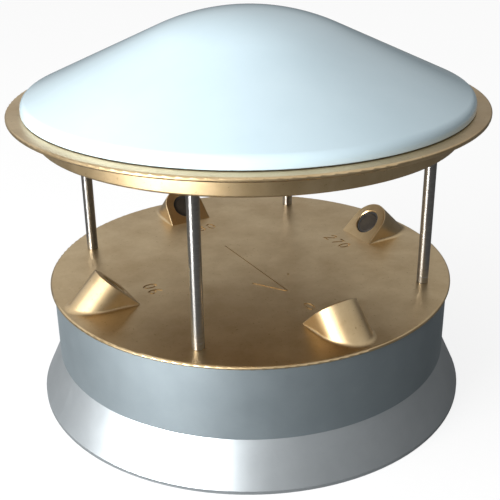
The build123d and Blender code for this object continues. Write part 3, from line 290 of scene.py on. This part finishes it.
def lathe(points, steps=LATHE_STEPS, closed=True):
    """A mesh turned about the Z axis from an outline of (r, z) points."""
    build = bmesh.new()
    directions = [(cos(2 * pi * k / steps), sin(2 * pi * k / steps)) for k in range(steps)]
    rings = []
    for r, z in points:
        if r < ON_AXIS:
            rings.append([build.verts.new((0, 0, z))])
        else:
            rings.append([build.verts.new((r * x, r * y, z)) for x, y in directions])
    pairs = list(zip(rings, rings[1:]))
    if closed:
        pairs.append((rings[-1], rings[0]))
    for low, high in pairs:
        for k in range(steps):
            after = (k + 1) % steps
            corners = [low[k % len(low)], low[after % len(low)]]
            corners += [high[after % len(high)], high[k % len(high)]]
            unique = list(dict.fromkeys(corners))
            if len(unique) > 2:
                build.faces.new(unique)
    return mesh_from(build, "turned")


def heights(node):
    """Lowest and highest point of a CAD node."""
    low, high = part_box(node)
    return low.z, high.z


def radius_of(node):
    """Half the width of a CAD node that is round about Z."""
    low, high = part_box(node)
    return max(high.x - low.x, high.y - low.y) / 2


deck_high = heights("deck_plate")[1]

# ---------------------------------------------------------------- radome

RADOME_WALL = 2.5 * MM
DRIP_LIP = 0.8 * MM
DRIP_GAP = 0.25 * MM
FLANK_ANGLE = radians(24.5)
SHOULDER_ROUND = 4.0 * MM
CROWN_EXCESS = 0.6 * MM
CROWN_STEPS = 40
SHOULDER_STEPS = 10
LIP_STEPS = 8

rim_top = heights("upper_plate")[1]
radome_top = heights("radome")[1]
radome_radius = radius_of("radome")
radome_edge = heights("radome_gasket")[1]
crown_radius = radome_radius + CROWN_EXCESS


def radome_outline(inset):
    """Outline of the bell from its apex to its lower edge, moved inwards by inset."""
    radius = crown_radius - inset
    centre = radome_top - crown_radius
    points = []
    for step in range(CROWN_STEPS + 1):
        angle = FLANK_ANGLE * step / CROWN_STEPS
        points.append(Vector((radius * sin(angle), centre + radius * cos(angle))))
    edge = radome_radius - inset
    shoulder = points[-1].y - (edge - points[-1].x) * tan(FLANK_ANGLE)
    corners = [(*points[-1], 0), (edge, shoulder, SHOULDER_ROUND - inset), (edge, radome_edge, 0)]
    return points + rounded_profile(corners, SHOULDER_STEPS)[1:]


def bell_radome():
    """The white bell, a shell whose thin drip lip hides the gasket."""
    outside = radome_outline(0)[:-1]
    inside = radome_outline(RADOME_WALL)
    lip_round = DRIP_LIP / 2
    lip_radius = radome_radius - lip_round
    lip_height = rim_top + DRIP_GAP + lip_round
    lip = []
    for step in range(LIP_STEPS + 1):
        turn = pi * step / LIP_STEPS
        lip.append(Vector((lip_radius + lip_round * cos(turn), lip_height - lip_round * sin(turn))))
    lip.append(Vector((radome_radius - DRIP_LIP, radome_edge)))
    mesh = lathe(outside + lip + inside[::-1], closed=False)
    finish_mesh("bell_radome", mesh, "radome_white", "radome")


bell_radome()

# ---------------------------------------------------------------- housing band

BAND_WALL = 4.0 * MM
BAND_LOW_EDGE = 0.25 * MM
BAND_HIGH_EDGE = 0.5 * MM


def blue_grey_band():
    """The painted ring of the housing, with broken edges outside."""
    low, high = heights("housing_band")
    radius = radius_of("housing_band")
    outline = [
        (radius, low, BAND_LOW_EDGE),
        (radius, high, BAND_HIGH_EDGE),
        (radius - BAND_WALL, high, 0),
        (radius - BAND_WALL, low, 0),
    ]
    finish_mesh("blue_grey_band", lathe(rounded_profile(outline)), "band_paint", "housing_band")


blue_grey_band()

# ---------------------------------------------------------------- posts

POST_RADIUS = 2.5 * MM
POST_STUD_RADIUS = 2.0 * MM
POST_BORE_RADIUS = 1.3 * MM
POST_EDGE = 0.2 * MM
POST_EDGE_STEPS = 3
POST_LATHE_STEPS = 64
JOINT_HEIGHT = 3.0 * MM
JOINT_DEPTH = 0.15 * MM

plate_low = heights("upper_plate")[0]


def support_post(number):
    """A turned rod with broken edges and a fine joint line above its foot."""
    node = f"support_post_{number}"
    low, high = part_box(node)
    centre = (low + high) / 2
    line = deck_high + JOINT_HEIGHT
    outline = [
        (POST_BORE_RADIUS, low.z, 0),
        (POST_STUD_RADIUS, low.z, POST_EDGE),
        (POST_STUD_RADIUS, deck_high, 0),
        (POST_RADIUS, deck_high, POST_EDGE),
        (POST_RADIUS, line - JOINT_DEPTH, 0),
        (POST_RADIUS - JOINT_DEPTH, line, 0),
        (POST_RADIUS, line + JOINT_DEPTH, 0),
        (POST_RADIUS, plate_low, POST_EDGE),
        (POST_STUD_RADIUS, plate_low, 0),
        (POST_STUD_RADIUS, high.z, POST_EDGE),
        (POST_BORE_RADIUS, high.z, 0),
    ]
    mesh = lathe(rounded_profile(outline, POST_EDGE_STEPS), POST_LATHE_STEPS)
    mesh.transform(Matrix.Translation((centre.x, centre.y, 0)))
    finish_mesh(f"steel_rod_{number}", mesh, "polished_steel", node)


for post_number in range(1, POST_COUNT + 1):
    support_post(post_number)

# ---------------------------------------------------------------- transducer bosses

BOSS_TILT = radians(45)
BOSS_FACE_RADIUS = 66.2 * MM
BOSS_FACE_HEIGHT = 6.7 * MM
BOSS_ROUND = 10.2 * MM
BOSS_FLARE = 0.8 * MM
BOSS_FLARE_LENGTH = 13.5 * MM
BOSS_EDGE = 0.6 * MM
BOSS_FOOT_FILLET = 1.2 * MM
FILLET_SHARE = 0.4
BOSS_BORE = 6.0 * MM
BORE_CHAMFER = 0.35 * MM
BORE_DEPTH = 8.9 * MM
FLARE_STEPS = 6
CROWN_ARC_STEPS = 32
EDGE_STEPS = 4
BORE_STEPS = 48
WELD_DISTANCE = 1e-7


def boss_outline(inset, depth):
    """Outline of the face at a depth, in the face's own across and up directions."""
    low = depth - BOSS_FACE_HEIGHT / sin(BOSS_TILT)
    foot_width = BOSS_ROUND + BOSS_FLARE * -low / BOSS_FLARE_LENGTH - inset
    crown = BOSS_ROUND - inset
    flare = []
    for step in range(FLARE_STEPS):
        along = step / FLARE_STEPS
        flare.append(Vector((-foot_width + (foot_width - crown) * along, low * (1 - along))))
    arc = []
    for step in range(CROWN_ARC_STEPS + 1):
        angle = pi - pi * step / CROWN_ARC_STEPS
        arc.append(Vector((crown * cos(angle), crown * sin(angle))))
    return flare + arc + [Vector((-point.x, point.y)) for point in reversed(flare)]


def outward_across(points, index):
    """Unit vector level with the deck, pointing away from the boss at one foot point."""
    along = points[min(index + 1, len(points) - 1)] - points[max(index - 1, 0)]
    return Vector((-along.y, along.x, 0)).normalized()


def boss_rings(place):
    """Rings of points over a boss: the softened face edge first, then the side's fillet."""
    rings = []
    for step in range(EDGE_STEPS + 1):
        turn = pi / 2 * step / EDGE_STEPS
        depth = BOSS_EDGE * (1 - cos(turn))
        outline = boss_outline(BOSS_EDGE * (1 - sin(turn)), depth)
        rings.append([place(point, depth) for point in outline])
    side = boss_outline(0, BOSS_EDGE)
    rise = [max(place(point, BOSS_EDGE).z - deck_high, 0) for point in side]
    reach = 1 / cos(BOSS_TILT)
    foot = [place(point, BOSS_EDGE + height * reach) for point, height in zip(side, rise)]
    for step in range(EDGE_STEPS + 1):
        turn = pi / 2 * step / EDGE_STEPS
        ring = []
        for index, (point, height) in enumerate(zip(side, rise)):
            fillet = min(BOSS_FOOT_FILLET, FILLET_SHARE * height)
            level = fillet * (1 - sin(turn))
            here = place(point, BOSS_EDGE + (height - level) * reach)
            ring.append(here + outward_across(foot, index) * fillet * (1 - cos(turn)))
        rings.append(ring)
    return rings


def bore_circle(radius):
    """Points of a circle in the face's own directions."""
    angles = [2 * pi * k / BORE_STEPS for k in range(BORE_STEPS)]
    return [Vector((radius * cos(angle), radius * sin(angle))) for angle in angles]


def boss_mesh(bearing):
    """A round-topped block with softened edges, a filleted foot and a chamfered blind bore."""
    outward = Vector((sin(radians(bearing)), cos(radians(bearing)), 0))
    across = Vector((outward.y, -outward.x, 0))
    up = outward * cos(BOSS_TILT) + Vector((0, 0, sin(BOSS_TILT)))
    normal = Vector((0, 0, cos(BOSS_TILT))) - outward * sin(BOSS_TILT)
    centre = outward * BOSS_FACE_RADIUS + Vector((0, 0, deck_high + BOSS_FACE_HEIGHT))

    def place(point, depth):
        """A point of the face's plane, sunk below it by depth."""
        return centre + across * point.x + up * point.y - normal * depth

    build = bmesh.new()
    loops = [[build.verts.new(v) for v in ring] for ring in boss_rings(place)]
    for near, far in zip(loops, loops[1:]):
        for k in range(len(near) - 1):
            build.faces.new([near[k], near[k + 1], far[k + 1], far[k]])
    build.faces.new(loops[-1])
    front = [loop[0] for loop in loops] + [loop[-1] for loop in reversed(loops)]
    build.faces.new(front)

    mouth = (BOSS_BORE + BORE_CHAMFER, 0)
    throat = (BOSS_BORE, BORE_CHAMFER)
    bottom = (BOSS_BORE, BORE_DEPTH)
    bore = []
    for radius, depth in (mouth, throat, bottom):
        bore.append([build.verts.new(place(point, depth)) for point in bore_circle(radius)])
    for near, far in zip(bore, bore[1:]):
        for k in range(BORE_STEPS):
            after = (k + 1) % BORE_STEPS
            build.faces.new([near[k], near[after], far[after], far[k]])
    build.faces.new(bore[-1])

    edges = []
    for loop in (loops[0], bore[0]):
        for k in range(len(loop)):
            pair = (loop[k], loop[(k + 1) % len(loop)])
            edges.append(build.edges.get(pair) or build.edges.new(pair))
    bmesh.ops.triangle_fill(build, edges=edges, use_beauty=True, normal=normal)
    bmesh.ops.remove_doubles(build, verts=build.verts, dist=WELD_DISTANCE)
    return mesh_from(build, "boss")


for boss_bearing in BEARINGS:
    finish_mesh(
        f"gold_boss_{boss_bearing}", boss_mesh(boss_bearing), "gold_coat",
        f"transducer_boss_{boss_bearing}",
    )

# ---------------------------------------------------------------- camera, light and floor

CAMERA_AZIMUTH = radians(150)
CAMERA_ELEVATION = radians(24.2)
CAMERA_DISTANCE = 410.4 * MM
CAMERA_ROLL = radians(-0.65)
CAMERA_LENS = 64.8
CAMERA_NEAR = 10 * MM
AIM_ABOVE_DECK = 6.9 * MM
AIM = Vector((0, 0, deck_high + AIM_ABOVE_DECK))
FLOOR_HALF_WIDTH = 20.0
FLOOR_GLOW_SHARE = 0.8
FLOOR_SEEN = (0.95, 0.95, 0.95, 1)
FLOOR_REFLECTED = (0.16, 0.16, 0.16, 1)
WHITE = (1, 1, 1, 1)
SIDE_GLOW = ((0.28, 0.0), (0.50, 0.06), (0.90, 0.54))
SKY_GLOW = ((0.50, 0.0), (0.62, 0.26), (0.80, 0.58), (1.0, 0.86))


def direction(azimuth, elevation):
    """Unit vector away from the object; azimuth 0 is -Y and 90 degrees is +X, in radians."""
    level = cos(elevation)
    return Vector((sin(azimuth) * level, -cos(azimuth) * level, sin(elevation)))


def direction_left(left, up):
    """Unit vector at an angle to the camera's left (positive) and up, in degrees."""
    return direction(CAMERA_AZIMUTH - radians(left), radians(up))


def place_camera():
    """The camera looks at a point on the axis, a little above the deck."""
    back = direction(CAMERA_AZIMUTH, CAMERA_ELEVATION)
    camera_data = bpy.data.cameras.new("camera")
    camera_data.lens = CAMERA_LENS
    camera_data.clip_start = CAMERA_NEAR
    camera = bpy.data.objects.new("camera", camera_data)
    camera.location = AIM + back * CAMERA_DISTANCE
    turn = back.to_track_quat("Z", "Y").to_matrix() @ Matrix.Rotation(CAMERA_ROLL, 3, "Z")
    camera.rotation_euler = turn.to_euler()
    bpy.context.scene.collection.objects.link(camera)
    bpy.context.scene.camera = camera


def soft_light(name, left, up, distance, width, height, power):
    """A rectangular area light aimed at the object from an angle left of the camera."""
    light_data = bpy.data.lights.new(name, "AREA")
    light_data.shape = "RECTANGLE"
    light_data.size = width
    light_data.size_y = height
    light_data.energy = power
    light = bpy.data.objects.new(name, light_data)
    away = direction_left(left, up)
    light.location = AIM + away * distance
    light.rotation_euler = away.to_track_quat("Z", "Y").to_euler()
    bpy.context.scene.collection.objects.link(light)


def split_camera_rays(nodes, seen, reflected, output):
    """Show one shader to the camera itself and another to every other ray."""
    path = nodes.add("ShaderNodeLightPath")
    mix = nodes.add("ShaderNodeMixShader")
    nodes.link(path.outputs["Is Camera Ray"], mix.inputs["Fac"])
    nodes.link(reflected, mix.inputs[1])
    nodes.link(seen, mix.inputs[2])
    nodes.link(mix.outputs["Shader"], output.inputs["Surface"])


def studio_world():
    """Plain white to the camera; lights the object from above and from the camera's left."""
    world = bpy.data.worlds.new("studio")
    world.use_nodes = True
    bpy.context.scene.world = world
    nodes = Nodes(world.node_tree)
    output = nodes.add("ShaderNodeOutputWorld")
    coordinates = nodes.add("ShaderNodeTexCoord")
    glows = []
    for toward, stops in ((direction_left(90, 0), SIDE_GLOW), (Vector((0, 0, 1)), SKY_GLOW)):
        part = nodes.add("ShaderNodeVectorMath", operation="DOT_PRODUCT")
        part.inputs[1].default_value = toward
        nodes.link(coordinates.outputs["Generated"], part.inputs[0])
        place = nodes.add("ShaderNodeMapRange", From_Min=-1.0, From_Max=1.0)
        nodes.link(part.outputs["Value"], place.inputs["Value"])
        glows.append(nodes.ramp(place.outputs["Result"], [(at, (v, v, v)) for at, v in stops]))
    together = nodes.add("ShaderNodeMixRGB", blend_type="ADD")
    together.inputs["Fac"].default_value = 1.0
    nodes.link(glows[0], together.inputs["Color1"])
    nodes.link(glows[1], together.inputs["Color2"])
    sky = nodes.add("ShaderNodeBackground", Strength=1.0)
    nodes.link(together.outputs["Color"], sky.inputs["Color"])
    plain = nodes.add("ShaderNodeBackground", Color=WHITE, Strength=1.0)
    split_camera_rays(nodes, plain.outputs["Background"], sky.outputs["Background"], output)


def pale_floor():
    """Pale to the camera, but dim to every other ray, so that it doesn't light the object."""
    half = FLOOR_HALF_WIDTH
    corners = [(-half, -half, 0), (half, -half, 0), (half, half, 0), (-half, half, 0)]
    mesh = bpy.data.meshes.new("floor")
    mesh.from_pydata(corners, [], [(0, 1, 2, 3)])
    material = bpy.data.materials.new("floor_white")
    material.use_nodes = True
    nodes = Nodes(material.node_tree)
    output = nodes.add("ShaderNodeOutputMaterial")
    lit = nodes.add("ShaderNodeBsdfDiffuse", Color=FLOOR_SEEN)
    glow = nodes.add("ShaderNodeEmission", Color=WHITE, Strength=1.0)
    seen = nodes.add("ShaderNodeMixShader", Fac=FLOOR_GLOW_SHARE)
    nodes.link(lit.outputs["BSDF"], seen.inputs[1])
    nodes.link(glow.outputs["Emission"], seen.inputs[2])
    reflected = nodes.add("ShaderNodeBsdfDiffuse", Color=FLOOR_REFLECTED)
    split_camera_rays(nodes, seen.outputs["Shader"], reflected.outputs["BSDF"], output)
    mesh.materials.append(material)
    floor = bpy.data.objects.new("floor", mesh)
    bpy.context.scene.collection.objects.link(floor)


place_camera()
studio_world()
pale_floor()
soft_light("key", left=50, up=26, distance=1.0, width=1.1, height=0.6, power=4.5)
soft_light("low_key", left=40, up=5, distance=0.65, width=0.34, height=0.10, power=6.5)
bpy.context.scene.view_settings.view_transform = "Standard"
